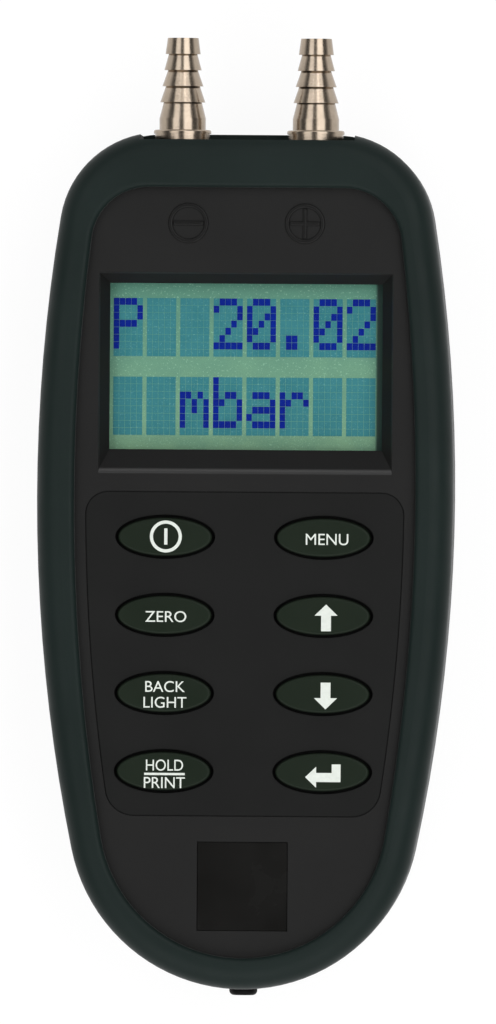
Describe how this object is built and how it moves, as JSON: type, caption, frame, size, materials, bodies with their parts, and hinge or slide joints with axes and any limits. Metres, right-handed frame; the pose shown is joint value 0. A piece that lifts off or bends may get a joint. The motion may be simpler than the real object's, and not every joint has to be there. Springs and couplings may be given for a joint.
{
  "type": "digital manometer",
  "caption": "Hand-held digital pressure meter in a rubber boot, with two hose spigots, a dot display and push keys.",
  "frame": {"origin": "middle of the boot's flat back face, on which the meter lies", "axes": "+Z out of the display, +Y towards the hose spigots, +X to the right as the display is read"},
  "size_m": [0.0872, 0.201, 0.043],
  "materials": {
    "boot_rubber": "satin moulded rubber, very dark green grey",
    "case_plastic": "fine spark texture, near black",
    "fascia_plastic": "fine spark texture, near black",
    "overlay_film": "satin printed film, near black",
    "key_plastic": "semi-gloss, near black, off-white legends",
    "mat_silicone": "matt grey silicone",
    "lens_clear": "clear polycarbonate",
    "display_glass": "green liquid crystal display, blue dots",
    "backlight_plastic": "milky light guide",
    "frame_metal": "black sheet frame",
    "board_laminate": "green solder mask",
    "chip_plastic": "black moulding compound",
    "sensor_plastic": "off-white moulding",
    "tube_silicone": "translucent silicone",
    "spigot_metal": "turned, warm nickel plate",
    "badge_gloss": "gloss black, bare",
    "bung_rubber": "satin black rubber",
    "infrared_gloss": "dark infrared-clear plastic",
    "screw_steel": "zinc plated",
    "battery_jacket": "plain dark printed jacket",
    "contact_metal": "nickel plated spring steel"
  },
  "bodies": {
    "meter": {"battery_1": "battery_jacket", "battery_2": "battery_jacket", "battery_3": "battery_jacket", "battery_door": "case_plastic", "blank_badge": "badge_gloss", "board_header": "chip_plastic", "board_screws": "screw_steel", "buzzer": "chip_plastic", "case_screws": "screw_steel", "contact_bridge_lower": "contact_metal", "contact_bridge_upper": "contact_metal", "contact_negative": "contact_metal", "contact_positive": "contact_metal", "data_socket": "chip_plastic", "display_backlight": "backlight_plastic", "display_board": "board_laminate", "display_frame": "frame_metal", "display_glass": "display_glass", "display_screws": "screw_steel", "front_shell": "fascia_plastic", "infrared_emitter": "infrared_gloss", "infrared_window": "infrared_gloss", "key_mat": "mat_silicone", "keypad_overlay": "overlay_film", "main_board": "board_laminate", "pressure_sensor": "sensor_plastic", "processor": "chip_plastic", "rear_shell": "case_plastic", "rubber_boot": "boot_rubber", "socket_bung": "bung_rubber", "spigot_minus": "spigot_metal", "spigot_plus": "spigot_metal", "tube_minus": "tube_silicone", "tube_plus": "tube_silicone", "window_lens": "lens_clear"},
    "power_button": {"key_power": "key_plastic"},
    "menu_button": {"key_menu": "key_plastic"},
    "zero_button": {"key_zero": "key_plastic"},
    "up_button": {"key_up": "key_plastic"},
    "backlight_button": {"key_backlight": "key_plastic"},
    "down_button": {"key_down": "key_plastic"},
    "hold_button": {"key_hold": "key_plastic"},
    "enter_button": {"key_enter": "key_plastic"}
  },
  "joints": [
    {"name": "press_power", "type": "slide", "parent": "meter", "child": "power_button", "axis": [0, 0, -1], "range_m": [0, 0.001], "stiffness_N_per_m": 600, "springref_m": -0.0005, "deforming": ["key_mat"]},
    {"name": "press_menu", "type": "slide", "parent": "meter", "child": "menu_button", "axis": [0, 0, -1], "range_m": [0, 0.001], "stiffness_N_per_m": 600, "springref_m": -0.0005, "deforming": ["key_mat"]},
    {"name": "press_zero", "type": "slide", "parent": "meter", "child": "zero_button", "axis": [0, 0, -1], "range_m": [0, 0.001], "stiffness_N_per_m": 600, "springref_m": -0.0005, "deforming": ["key_mat"]},
    {"name": "press_up", "type": "slide", "parent": "meter", "child": "up_button", "axis": [0, 0, -1], "range_m": [0, 0.001], "stiffness_N_per_m": 600, "springref_m": -0.0005, "deforming": ["key_mat"]},
    {"name": "press_backlight", "type": "slide", "parent": "meter", "child": "backlight_button", "axis": [0, 0, -1], "range_m": [0, 0.001], "stiffness_N_per_m": 600, "springref_m": -0.0005, "deforming": ["key_mat"]},
    {"name": "press_down", "type": "slide", "parent": "meter", "child": "down_button", "axis": [0, 0, -1], "range_m": [0, 0.001], "stiffness_N_per_m": 600, "springref_m": -0.0005, "deforming": ["key_mat"]},
    {"name": "press_hold", "type": "slide", "parent": "meter", "child": "hold_button", "axis": [0, 0, -1], "range_m": [0, 0.001], "stiffness_N_per_m": 600, "springref_m": -0.0005, "deforming": ["key_mat"]},
    {"name": "press_enter", "type": "slide", "parent": "meter", "child": "enter_button", "axis": [0, 0, -1], "range_m": [0, 0.001], "stiffness_N_per_m": 600, "springref_m": -0.0005, "deforming": ["key_mat"]}
  ]
}
